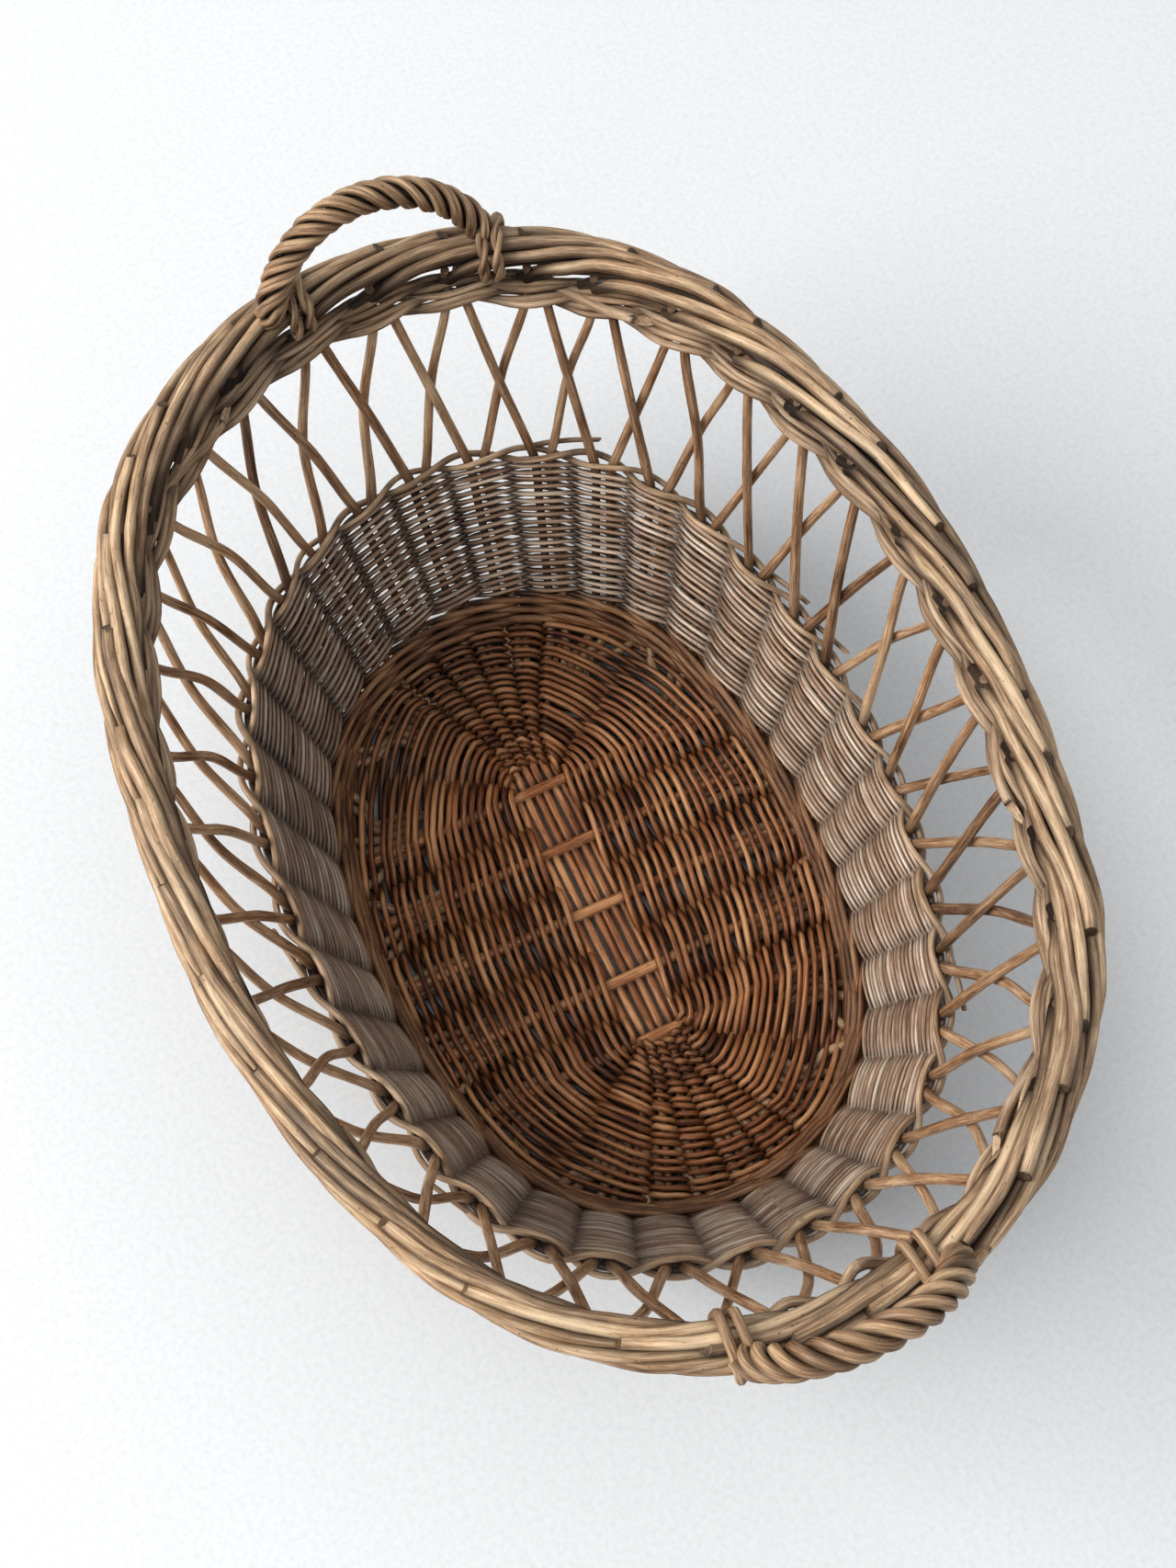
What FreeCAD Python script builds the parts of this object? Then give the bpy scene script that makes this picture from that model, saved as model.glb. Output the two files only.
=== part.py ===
import FreeCAD, Part
import math
import os

# Oval openwork willow basket with two twisted rope handles.
# Millimetres, +Z up, X along the long axis, Z = 0 on the underside of the base.
# Every plan outline is a four-centre oval made of tangent arcs.

V = FreeCAD.Vector
os.makedirs("parts", exist_ok=True)

# ---------------------------------------------------------------- dimensions
PAIRS = 36                     # pairs of side stakes round the basket
STAKE_D = 6.8                  # side stake diameter
ROD_D = 4.2                    # fine weaving rod diameter, one weave skin

# stake line: centre line of the stakes, half axes and end radius by height
Z_BASE = 9.2                   # mid plane of the base
Z_NODE = 128.5                 # top of the close-woven lower wall
Z_RIM = 250.0                  # level where the stakes enter the border
LINE = ((Z_BASE, 212.7, 145.1, 132.8),
        (Z_NODE, 271.0, 184.4, 169.6),
        (Z_RIM, 326.5, 219.8, 198.2))

# rim outline: outermost face of the border
RIM_A, RIM_B, RIM_R = 350.0, 243.3, 221.7

# base
CROSS_D = 9.6                  # cross stick diameter
CROSS_X = (-94.0, -47.0, 0.0, 47.0, 94.0)
LONG_D = 5.9                   # long stick diameter
LONG_N = 6
LONG_PITCH = 6.6
SLIT_H = 6.2                   # slit through each cross stick
SLIT_W = 40.4
FAN_X = 112.0                  # where the long sticks start to fan out
FAN_DEG = 12.0                 # extra turn from one long stick to the next
STICK_END = 14.5               # stick ends stop this far inside the base edge
PLATE_H = 4.2                  # thickness of each face of the base weave
PLATE_UP_Z = 14.2
WINDOW_X, WINDOW_Y = 106.0, 18.5   # bare window in the middle of the base

# upsett and wall
UPSETT_D = 5.6
UPSETT_OUT = ((6.4, 2.7, True), (12.5, 8.7, True), (18.2, 7.05, False), (23.9, 7.05, False))
UPSETT_IN_D = 5.4
UPSETT_IN_Z = (21.4, 27.0)
SKIN_GAP = 4.05                # stake line to the near face of a weave skin
SKIN_T = 4.3                   # weave skin thickness, measured level
SKIN_TOP = 123.6
WALE_D = 4.4
WALE_Z = 126.4

# openwork
PAIR_HALF = 4.2                # half the spacing of the two stakes of a pair
CROSS_BOW = 4.0                # how far a stake bows in or out where two cross
Z_CROSS = 182.0
Z_FITCH = 236.0
Z_STAKE_TOP = 262.0

# rim bands
FITCH_D = 6.0
FITCH_Z = (238.0, 247.0)
FITCH_GAP = 7.15
BORDER_D = 8.8
# name, inset of the rod centre from the rim outline, height
BORDER = (("border_rods_outer", 4.5, 264.5),
          ("border_rods_top_outer", 12.7, 272.3),
          ("border_rods_top_inner", 26.9, 272.3),
          ("border_rods_inner", 34.4, 264.5))

# handles
ROPE_D = 20.0
CORE_D = 8.0
LASH_D = 5.6
#        name, side, foot y, foot y, foot x, foot z, rise, lean, lashing turns
HANDLES = (("far", -1, -50.0, 78.0, 326.0, 282.1, 49.0, 24.0,
            (-34.4, -27.2), (115.2, 122.6)),
           ("near", 1, -62.0, 49.0, 341.0, 282.7, 39.8, 27.0,
            (-87.0, -79.5), (27.2, 34.4)))


# ---------------------------------------------------------------- ovals
def oval_geometry(a, b, r):
    """Side arc radius, its centre's distance below the axis, and the angle
    at which the end arc meets the side arc."""
    big = ((a - r) ** 2 + b * b - r * r) / (2.0 * (b - r))
    cy = big - b
    return big, cy, math.atan2(cy, a - r)


def oval_wire(a, b, r, z):
    big, cy, ang = oval_geometry(a, b, r)
    ex = a - r
    jx, jy = ex + r * math.cos(ang), r * math.sin(ang)
    e = [Part.Arc(V(jx, -jy, z), V(a, 0, z), V(jx, jy, z)).toShape(),
         Part.Arc(V(jx, jy, z), V(0, b, z), V(-jx, jy, z)).toShape(),
         Part.Arc(V(-jx, jy, z), V(-a, 0, z), V(-jx, -jy, z)).toShape(),
         Part.Arc(V(-jx, -jy, z), V(0, -b, z), V(jx, -jy, z)).toShape()]
    return Part.Wire(e)


def oval_point(a, b, r, s):
    """Point and outward normal at fraction s of the way round, s = 0 on +X."""
    big, cy, ang = oval_geometry(a, b, r)
    l1 = r * ang
    l2 = big * (math.pi / 2.0 - ang)
    quarter = l1 + l2
    t = (s % 1.0) * 4.0
    k = int(t)
    f = t - k
    if k % 2:
        f = 1.0 - f
    d = f * quarter
    if d <= l1:
        th = d / r
        x, y = (a - r) + r * math.cos(th), r * math.sin(th)
    else:
        th = ang + (d - l1) / big
        x, y = big * math.cos(th), big * math.sin(th) - cy
    nx, ny = math.cos(th), math.sin(th)
    if k in (1, 2):
        x, nx = -x, -nx
    if k in (2, 3):
        y, ny = -y, -ny
    return V(x, y, 0), V(nx, ny, 0)


def line_at(z):
    """Half axes and end radius of the stake line at height z."""
    lo, hi = (LINE[0], LINE[1]) if z <= Z_NODE else (LINE[1], LINE[2])
    f = (z - lo[0]) / (hi[0] - lo[0])
    return tuple(lo[i] + f * (hi[i] - lo[i]) for i in (1, 2, 3))


def stake_point(s, z, along=0.0, out=0.0):
    a, b, r = line_at(z)
    p, n = oval_point(a, b, r, s)
    t = V(-n.y, n.x, 0)
    return p + n * out + t * along + V(0, 0, z)


# ---------------------------------------------------------------- rods
def filleted_path(points, radii):
    """Straight runs through the points, joined by tangent arcs."""
    edges = []
    start = points[0]
    for i in range(1, len(points) - 1):
        p, rad = points[i], radii[i - 1]
        u = (points[i - 1] - p).normalize()
        w = (points[i + 1] - p).normalize()
        half = u.getAngle(w) / 2.0
        if math.pi / 2.0 - half < 1e-4:
            continue
        t = rad / math.tan(half)
        p1, p2 = p + u * t, p + w * t
        bis = (u + w).normalize()
        mid = p + bis * (rad / math.sin(half) - rad)
        edges.append(Part.LineSegment(start, p1).toShape())
        edges.append(Part.Arc(p1, mid, p2).toShape())
        start = p2
    edges.append(Part.LineSegment(start, points[-1]).toShape())
    return Part.Wire(edges)


def swept_rod(wire, start, direction, dia):
    disc = Part.Face(Part.Wire(Part.makeCircle(dia / 2.0, start, direction)))
    s = wire.makePipe(disc)
    return s.Solids[0] if s.Solids else Part.Solid(s)


def rod(points, radii, dia):
    w = filleted_path(points, radii)
    return swept_rod(w, points[0], points[1] - points[0], dia)


def oval_ring(a, b, r, z, dia):
    """A rod laid round an oval and closed on itself."""
    big, cy, ang = oval_geometry(a, b, r)
    w = oval_wire(a, b, r, z)
    first = V(a - r + r * math.cos(ang), -r * math.sin(ang), z)
    tangent = V(math.sin(ang), math.cos(ang), 0)
    circle = Part.Wire(Part.makeCircle(dia / 2.0, first, tangent))
    shell = w.makePipeShell([circle], True, False)
    if shell.Solids:
        return shell.Solids[0]
    return Part.Solid(Part.Shell(shell.Faces))


def band(z0, z1, inner, outer):
    """Flared band between two offsets of the stake line."""
    def loft(off):
        ws = []
        for z in (z0, z1):
            a, b, r = line_at(z)
            ws.append(oval_wire(a + off, b + off, r + off, z))
        return Part.makeLoft(ws, True, True)
    return loft(outer).cut(loft(inner)).Solids[0]


def plate(outer, z, height):
    """Oval plate with the bare window of the base cut out of it."""
    body = Part.Face(oval_wire(*outer, z)).extrude(V(0, 0, height))
    rw = WINDOW_Y
    sx = WINDOW_X - rw
    slot = Part.Wire([
        Part.LineSegment(V(-sx, -rw, z), V(sx, -rw, z)).toShape(),
        Part.Arc(V(sx, -rw, z), V(sx + rw, 0, z), V(sx, rw, z)).toShape(),
        Part.LineSegment(V(sx, rw, z), V(-sx, rw, z)).toShape(),
        Part.Arc(V(-sx, rw, z), V(-sx - rw, 0, z), V(-sx, -rw, z)).toShape()])
    return body.cut(Part.Face(slot).extrude(V(0, 0, height))).Solids[0]


nodes = {}


# ---------------------------------------------------------------- base
edge = LINE[0][1:]
sticks_to = tuple(v - STICK_END for v in edge)


def y_on_oval(dims, x):
    a, b, r = dims
    big, cy, ang = oval_geometry(a, b, r)
    jx = (a - r) + r * math.cos(ang)
    if abs(x) <= jx:
        return math.sqrt(big * big - x * x) - cy
    return math.sqrt(r * r - (abs(x) - (a - r)) ** 2)


cross = []
for x in CROSS_X:
    y = y_on_oval(sticks_to, x)
    c = Part.makeCylinder(CROSS_D / 2.0, 2 * y, V(x, -y, Z_BASE), V(0, 1, 0))
    slit = Part.makeBox(CROSS_D + 2, SLIT_W, SLIT_H,
                        V(x - CROSS_D / 2.0 - 1, -SLIT_W / 2.0, Z_BASE - SLIT_H / 2.0))
    cross.append(c.cut(slit).Solids[0])
nodes["base_cross_sticks"] = cross

long_sticks = []
for j in range(LONG_N):
    k = j - (LONG_N - 1) / 2.0
    y = k * LONG_PITCH
    ang = math.radians(k * FAN_DEG)
    # run along the fan direction until the end line is reached
    step, x1, y1 = 0.25, FAN_X, y
    while x1 < sticks_to[0] and abs(y1) < y_on_oval(sticks_to, min(x1, sticks_to[0])):
        x1 += step * math.cos(ang)
        y1 += step * math.sin(ang)
    pts = [V(-x1, y1, Z_BASE), V(-FAN_X, y, Z_BASE), V(FAN_X, y, Z_BASE), V(x1, y1, Z_BASE)]
    long_sticks.append(rod(pts, [25.0, 25.0], LONG_D))
nodes["base_long_sticks"] = long_sticks

up_edge = tuple(v - 4.2 for v in edge)
nodes["base_weave_upper"] = [plate(up_edge, PLATE_UP_Z, PLATE_H)]
nodes["base_weave_lower"] = [plate(edge, 0.0, PLATE_H)]

# ---------------------------------------------------------------- upsett
rings = []
for z, off, from_edge in UPSETT_OUT:
    a, b, r = edge if from_edge else line_at(z)
    rings.append(oval_ring(a + off, b + off, r + off, z, UPSETT_D))
nodes["upsett_wale_outer"] = rings
rings = []
for z in UPSETT_IN_Z:
    a, b, r = line_at(z)
    off = -6.95
    rings.append(oval_ring(a + off, b + off, r + off, z, UPSETT_IN_D))
nodes["upsett_wale_inner"] = rings

# ---------------------------------------------------------------- side stakes
for name, sense in (("side_stakes_inner", 1), ("side_stakes_outer", -1)):
    solids = []
    for i in range(PAIRS):
        s0 = i / float(PAIRS)
        sm = (i + 0.5 * sense) / PAIRS
        s1 = (i + sense) / float(PAIRS)
        side = sense * PAIR_HALF
        pts = [stake_point(s0, Z_BASE, side, -12.0),
               stake_point(s0, Z_BASE, side),
               stake_point(s0, Z_NODE, side),
               stake_point(sm, Z_CROSS, 0.0, -sense * CROSS_BOW),
               stake_point(s1, Z_FITCH, -side),
               stake_point(s1, Z_STAKE_TOP, -side)]
        solids.append(rod(pts, [14.0, 25.0, 120.0, 30.0], STAKE_D))
    nodes[name] = solids

# ---------------------------------------------------------------- lower wall
nodes["side_weave_inner"] = [band(30.2, SKIN_TOP, -SKIN_GAP - SKIN_T, -SKIN_GAP)]
nodes["side_weave_outer"] = [band(27.6, SKIN_TOP, SKIN_GAP, SKIN_GAP + SKIN_T)]
a, b, r = line_at(WALE_Z)
for name, off in (("side_top_wale_inner", -6.45), ("side_top_wale_outer", 6.45)):
    nodes[name] = [oval_ring(a + off, b + off, r + off, WALE_Z, WALE_D)]

# ---------------------------------------------------------------- rim bands
for name, off in (("fitch_rods_inner", -FITCH_GAP), ("fitch_rods_outer", FITCH_GAP)):
    rings = []
    for z in FITCH_Z:
        a, b, r = line_at(z)
        rings.append(oval_ring(a + off, b + off, r + off, z, FITCH_D))
    nodes[name] = rings
for name, d, z in BORDER:
    nodes[name] = [oval_ring(RIM_A - d, RIM_B - d, RIM_R - d, z, BORDER_D)]


# ---------------------------------------------------------------- handles
def arch_sweep(side, y0, y1, fx, fz, rise, lean, dia, hole):
    """Circular arch standing on two feet, leaning out by lean degrees."""
    yc, half = (y0 + y1) / 2.0, (y1 - y0) / 2.0
    rad = (half * half + rise * rise) / (2.0 * rise)
    up = V(side * math.sin(math.radians(lean)), 0, math.cos(math.radians(lean)))
    foot = V(side * fx, yc, fz)
    centre = foot + up * (rise - rad)
    p0 = foot + V(0, -half, 0)
    p1 = foot + up * rise
    p2 = foot + V(0, half, 0)
    w = Part.Wire([Part.Arc(p0, p1, p2).toShape()])
    spoke = p0 - centre
    normal = up.cross(V(0, 1, 0))
    tangent = spoke.cross(normal)
    disc = Part.Face(Part.Wire(Part.makeCircle(dia / 2.0, p0, tangent)))
    body = w.makePipe(disc)
    if hole:
        body = body.cut(w.makePipe(Part.Face(Part.Wire(Part.makeCircle(hole / 2.0, p0, tangent)))))
    return body.Solids[0]


def lashing_turn(side, y):
    """One closed turn of rod round the border, standing across it at y."""
    lo, hi = 257.4, 279.8
    d_out, d_in = -3.0, 41.9
    q, n = oval_point(RIM_A - 19.5, RIM_B - 19.5, RIM_R - 19.5, 0.0)
    # station on the oval whose y is closest to the wanted one
    best = None
    for k in range(-640, 641):
        s = (0.0 if side > 0 else 0.5) + k / 8000.0
        q, n = oval_point(RIM_A, RIM_B, RIM_R, s)
        if best is None or abs(q.y - y) < best[0]:
            best = (abs(q.y - y), q, n)
    q, n = best[1], best[2]
    r = 6.0
    c = [q - n * d_out + V(0, 0, lo), q - n * d_in + V(0, 0, lo),
         q - n * d_in + V(0, 0, hi), q - n * d_out + V(0, 0, hi)]
    # start half way along the bottom so the loop closes on a straight run
    m = (c[0] + c[1]) * 0.5
    pts = [m, c[1], c[2], c[3], c[0], m]
    edges = []
    start = m
    for i in range(1, 5):
        p = pts[i]
        u = (pts[i - 1] - p).normalize()
        w = (pts[i + 1] - p).normalize()
        p1, p2 = p + u * r, p + w * r
        mid = p + (u + w).normalize() * (r * math.sqrt(2.0) - r)
        edges.append(Part.LineSegment(start, p1).toShape())
        edges.append(Part.Arc(p1, mid, p2).toShape())
        start = p2
    edges.append(Part.LineSegment(start, m).toShape())
    w = Part.Wire(edges)
    circle = Part.Wire(Part.makeCircle(LASH_D / 2.0, m, c[1] - m))
    shell = w.makePipeShell([circle], True, False)
    return shell.Solids[0] if shell.Solids else Part.Solid(Part.Shell(shell.Faces))


for name, side, y0, y1, fx, fz, rise, lean, turns0, turns1 in HANDLES:
    nodes["handle_%s_core" % name] = [
        arch_sweep(side, y0, y1, fx, fz, rise, lean, CORE_D, 0)]
    nodes["handle_%s_rope" % name] = [
        arch_sweep(side, y0, y1, fx, fz, rise, lean, ROPE_D, CORE_D + 0.2)]
    nodes["handle_%s_lashing_a" % name] = [lashing_turn(side, y) for y in turns0]
    nodes["handle_%s_lashing_b" % name] = [lashing_turn(side, y) for y in turns1]

# ---------------------------------------------------------------- frame, export
shapes = dict((n, Part.makeCompound(s)) for n, s in nodes.items())
whole = Part.makeCompound(list(shapes.values()))
bb = whole.optimalBoundingBox(True, False)
shift = V(-(bb.XMin + bb.XMax) / 2.0, -(bb.YMin + bb.YMax) / 2.0, 0)
for n, sh in shapes.items():
    sh.translate(shift)
    sh.exportStep("parts/%s.step" % n)
    bad = [i for i, so in enumerate(nodes[n]) if not so.isValid() or so.Volume <= 0]
    print("%-26s solids %3d  volume %10.1f mm3 %s" % (n, len(nodes[n]), sum(so.Volume for so in nodes[n]), "BAD %s" % bad if bad else ""))
print("shift applied", shift, "box", bb)
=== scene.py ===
import bpy
import math
import numpy as np
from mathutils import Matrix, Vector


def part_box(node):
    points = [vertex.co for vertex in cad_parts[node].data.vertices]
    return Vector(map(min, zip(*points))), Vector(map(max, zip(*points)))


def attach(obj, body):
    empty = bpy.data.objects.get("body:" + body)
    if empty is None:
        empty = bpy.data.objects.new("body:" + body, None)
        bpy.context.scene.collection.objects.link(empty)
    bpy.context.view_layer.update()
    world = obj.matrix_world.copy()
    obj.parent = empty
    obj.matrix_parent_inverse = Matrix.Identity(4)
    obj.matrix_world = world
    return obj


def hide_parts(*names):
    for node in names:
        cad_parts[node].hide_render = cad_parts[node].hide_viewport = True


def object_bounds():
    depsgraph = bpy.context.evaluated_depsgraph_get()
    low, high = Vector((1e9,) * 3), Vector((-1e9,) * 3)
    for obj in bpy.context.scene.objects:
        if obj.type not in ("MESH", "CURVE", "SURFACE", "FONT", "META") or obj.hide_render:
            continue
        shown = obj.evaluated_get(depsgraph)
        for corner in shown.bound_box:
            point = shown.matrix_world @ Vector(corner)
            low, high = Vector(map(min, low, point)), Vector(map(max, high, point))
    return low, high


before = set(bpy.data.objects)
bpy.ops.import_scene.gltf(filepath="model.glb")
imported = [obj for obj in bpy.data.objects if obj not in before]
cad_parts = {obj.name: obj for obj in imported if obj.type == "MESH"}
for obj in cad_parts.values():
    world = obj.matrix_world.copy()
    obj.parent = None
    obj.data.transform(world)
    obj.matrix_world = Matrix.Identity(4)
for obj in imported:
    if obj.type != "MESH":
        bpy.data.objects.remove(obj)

CAD_BOX = [list(map(float, c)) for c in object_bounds()]
rng = np.random.default_rng(20)

# ------------------------------------------------------------------ frame
# CAD numbers are millimetres about the centre of the rim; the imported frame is
# shifted so that the whole object's box is centred.  Read the shift back.
_lo, _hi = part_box("border_rods_outer")
SHIFT = np.array([(_lo[0] + _hi[0]) / 2.0, (_lo[1] + _hi[1]) / 2.0, 0.0])

PAIRS = 36
Z_BASE, Z_NODE, Z_CROSS, Z_FITCH = 9.2, 128.5, 182.0, 236.0
LINE_Z = np.array([9.2, 128.5, 250.0])
LINE_V = np.array([[212.7, 145.1, 132.8], [271.0, 184.4, 169.6], [326.5, 219.8, 198.2]])
RIM = (350.0, 243.3, 221.7)

# how far each pair of stakes stands from even spacing, in pair spacings
DEV_LOW = np.array([0.31, 0.24, 0.07, 0.07, 0.02, -0.01, -0.1, -0.08, -0.2, -0.26, -0.1, -0.23, -0.12, 0.0, 0.0, -0.05, -0.05, -0.04, -0.09, -0.12, -0.12, -0.2, -0.21, -0.28, -0.18, -0.07, 0.21, 0.23, 0.41, 0.45, 0.44, 0.42, 0.5, 0.38, 0.38, 0.4])
DEV_TOP = np.array([0.23, 0.11, -0.01, -0.09, -0.14, -0.17, -0.23, -0.23, -0.28, -0.22, -0.23, -0.11, -0.09, -0.1, -0.1, -0.07, -0.22, -0.23, -0.29, -0.33, -0.29, -0.31, -0.25, -0.28, -0.3, -0.12, -0.17, 0.03, 0.12, 0.29, 0.31, 0.37, 0.45, 0.46, 0.45, 0.35])
OUT_LOW = np.array([0.2, 0.6, -0.0, -1.7, -3.9, -4.1, -2.0, -0.3, 0.0, -0.1, 0.1, -0.3, -0.7, 0.8, 2.7, 4.3, 6.1, 6.2, 4.4, 2.5, 0.6, -0.7, -0.1, 1.6, 2.7, 2.1, 0.8, 0.3, 0.5, -0.5, -1.9, 0.1, 2.9, 2.5, 1.2, 0.3])
OUT_TOP = np.array([-0.3, 0.7, 0.8, -0.7, -1.5, -1.1, -0.3, -0.8, -1.5, -0.3, 1.4, 1.5, 0.4, -1.1, -1.5, -0.6, -0.3, -0.4, -0.9, -1.4, -0.2, 0.7, -0.4, -0.9, 0.3, 1.4, 1.6, 1.9, 2.5, 2.4, 0.8, -1.1, -0.2, 2.0, 2.0, 0.4])
RIM_OUT = np.array([2.0, 2.0, 1.0, 0.0, 0.5, 2.5, 2.0, 1.5, 2.0, 3.5, 5.0, 5.0, 5.0, 4.0, 4.0, 5.0, 5.0, 5.0, 5.0, 5.0, 4.0, 3.5, 4.2, 3.8, 5.0, 3.5, 1.5, 2.0, 3.0, 2.0, 1.5, -2.0, -2.0, -0.5, 1.0, 2.0])
BAND_OUT = 3.4 + 0.6 * RIM_OUT + np.array([1.0, 0, 0, 0, 0, 1.5, 1.5, 1.5, 1.5, 1.5, 1.5, 1.5, 1.5, 1.0, 0, 0, 0, 0, 0, 0, 0, 0.5, 1.0, 1.5, 2.0, 2.5, 3.0, 4.0, 4.5, 5.0, 5.5, 6.5, 6.5, 6.0, 4.0, 2.5])
INNER_OUT = 2.0 + 0.8 * np.array([1.0, 0, 0, 0, 0, 1.5, 1.5, 1.5, 1.5, 1.5, 1.5, 1.5, 1.5, 1.0, 0, 0, 0, 0, 0, 0, 0, 0.5, 1.0, 1.5, 2.0, 2.5, 3.0, 4.0, 4.5, 5.0, 5.0, 5.0, 5.0, 4.5, 3.0, 2.0])
S_LOW = (np.arange(PAIRS) + DEV_LOW) / PAIRS
S_TOP = (np.arange(PAIRS) + DEV_TOP) / PAIRS


def wrap_interp(t, vals, period=PAIRS):
    """Periodic linear interpolation of node values at node number t."""
    t = np.asarray(t, float) % period
    i = np.floor(t).astype(int)
    f = t - i
    f = f * f * (3 - 2 * f)
    return vals[i % period] * (1 - f) + vals[(i + 1) % period] * f


def node_s(t, svals, period=PAIRS):
    """Fraction round the oval at node number t, t may run past the seam."""
    t = np.asarray(t, float)
    k = np.floor(t / period)
    tt = t - k * period
    i = np.floor(tt).astype(int)
    f = tt - i
    a = svals[i % period] + (i // period)
    b = svals[(i + 1) % period] + ((i + 1) // period)
    return a * (1 - f) + b * f + k


# ------------------------------------------------------------------ ovals
def oval(a, b, r, s):
    """Points and outward normals on four-centre ovals, all arrays alike."""
    a, b, r, s = np.broadcast_arrays(*(np.asarray(v, float) for v in (a, b, r, s)))
    big = ((a - r) ** 2 + b * b - r * r) / (2.0 * (b - r))
    cy = big - b
    ang = np.arctan2(cy, a - r)
    l1 = r * ang
    l2 = big * (np.pi / 2 - ang)
    q = l1 + l2
    t = (s % 1.0) * 4.0
    k = np.floor(t).astype(int)
    f = t - k
    f = np.where(k % 2 == 1, 1 - f, f)
    d = f * q
    th = np.where(d <= l1, d / r, ang + (d - l1) / big)
    x = np.where(d <= l1, (a - r) + r * np.cos(th), big * np.cos(th))
    y = np.where(d <= l1, r * np.sin(th), big * np.sin(th) - cy)
    nx, ny = np.cos(th), np.sin(th)
    sx = np.where((k == 1) | (k == 2), -1.0, 1.0)
    sy = np.where((k == 2) | (k == 3), -1.0, 1.0)
    P = np.stack([x * sx, y * sy], -1)
    N = np.stack([nx * sx, ny * sy], -1)
    return P, N


def line_at(z):
    z = np.asarray(z, float)
    return [np.interp(z, LINE_Z, LINE_V[:, i]) for i in range(3)]


def wall(s, z, along=0.0, out=0.0, t=None):
    """Point on the stake surface; the wall's own unevenness is put in here."""
    s, z, along, out = np.broadcast_arrays(*(np.asarray(v, float) for v in (s, z, along, out)))
    a, b, r = line_at(z)
    P, N = oval(a, b, r, s)
    tt = s * PAIRS
    up = np.clip((z - 20.0) / (Z_NODE - 20.0), 0, 1)
    hi = np.clip((z - Z_NODE) / (Z_FITCH - Z_NODE), 0, 1)
    bump = wrap_interp(tt, OUT_LOW) * up * (1 - hi) + wrap_interp(tt, OUT_TOP) * hi * np.clip((262.0 - z) / 26.0, 0, 1)
    q = np.clip((z - 134.0) / 102.0, 0, 1)
    bump = bump * 0.8 + wrap_interp(tt, BAND_OUT) * q
    T = np.stack([-N[..., 1], N[..., 0]], -1)
    Q = P + N * (out + bump)[..., None] + T * along[..., None]
    return np.concatenate([Q, z[..., None]], -1)


def wall_frame(s, z):
    """Outward normal of the sloping wall, tangent, and up-slope direction."""
    s, z = np.broadcast_arrays(np.asarray(s, float), np.asarray(z, float))
    a, b, r = line_at(z)
    P0, N = oval(a, b, r, s)
    a2, b2, r2 = line_at(z + 1.0)
    P1, _ = oval(a2, b2, r2, s)
    up = np.concatenate([P1 - P0, np.ones(P0.shape[:-1] + (1,))], -1)
    up /= np.linalg.norm(up, axis=-1, keepdims=True)
    T = np.concatenate([np.stack([-N[..., 1], N[..., 0]], -1), np.zeros(P0.shape[:-1] + (1,))], -1)
    T /= np.linalg.norm(T, axis=-1, keepdims=True)
    Nn = np.cross(T, up)
    return Nn, T, up


# ------------------------------------------------------------------ splines
def catmull(pts, per=12, closed=False):
    """Smooth curve through points (centripetal-like, uniform Catmull-Rom)."""
    P = np.asarray(pts, float)
    n = len(P)
    if closed:
        idx = lambda i: P[i % n]
        segs = n
    else:
        first = 2 * P[0] - P[1]
        last = 2 * P[-1] - P[-2]
        Q = np.vstack([first, P, last])
        idx = lambda i: Q[i + 1]
        segs = n - 1
    out = []
    t = np.linspace(0, 1, per, endpoint=False)[:, None]
    for i in range(segs):
        p0, p1, p2, p3 = idx(i - 1), idx(i), idx(i + 1), idx(i + 2)
        out.append(0.5 * (2 * p1 + (p2 - p0) * t + (2 * p0 - 5 * p1 + 4 * p2 - p3) * t ** 2 + (3 * p1 - p0 - 3 * p2 + p3) * t ** 3))
    if not closed:
        out.append(P[-1][None])
    return np.vstack(out)


def resample(P, step, closed=False):
    P = np.asarray(P, float)
    if closed:
        P = np.vstack([P, P[:1]])
    L = np.concatenate([[0], np.cumsum(np.linalg.norm(np.diff(P[:, :3], axis=0), axis=1))])
    n = max(3, int(round(L[-1] / step)) + 1)
    u = np.linspace(0, L[-1], n)
    Q = np.stack([np.interp(u, L, P[:, i]) for i in range(P.shape[1])], 1)
    return Q[:-1] if closed else Q


def smooth_noise(n, scale, amp, r=None):
    """Band-limited wobble of n samples."""
    r = r or rng
    k = max(2, int(n / scale) + 2)
    c = r.normal(0, 1, k)
    x = np.linspace(0, k - 1.001, n)
    i = x.astype(int)
    f = x - i
    f = f * f * (3 - 2 * f)
    return amp * (c[i] * (1 - f) + c[np.minimum(i + 1, k - 1)] * f)


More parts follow.
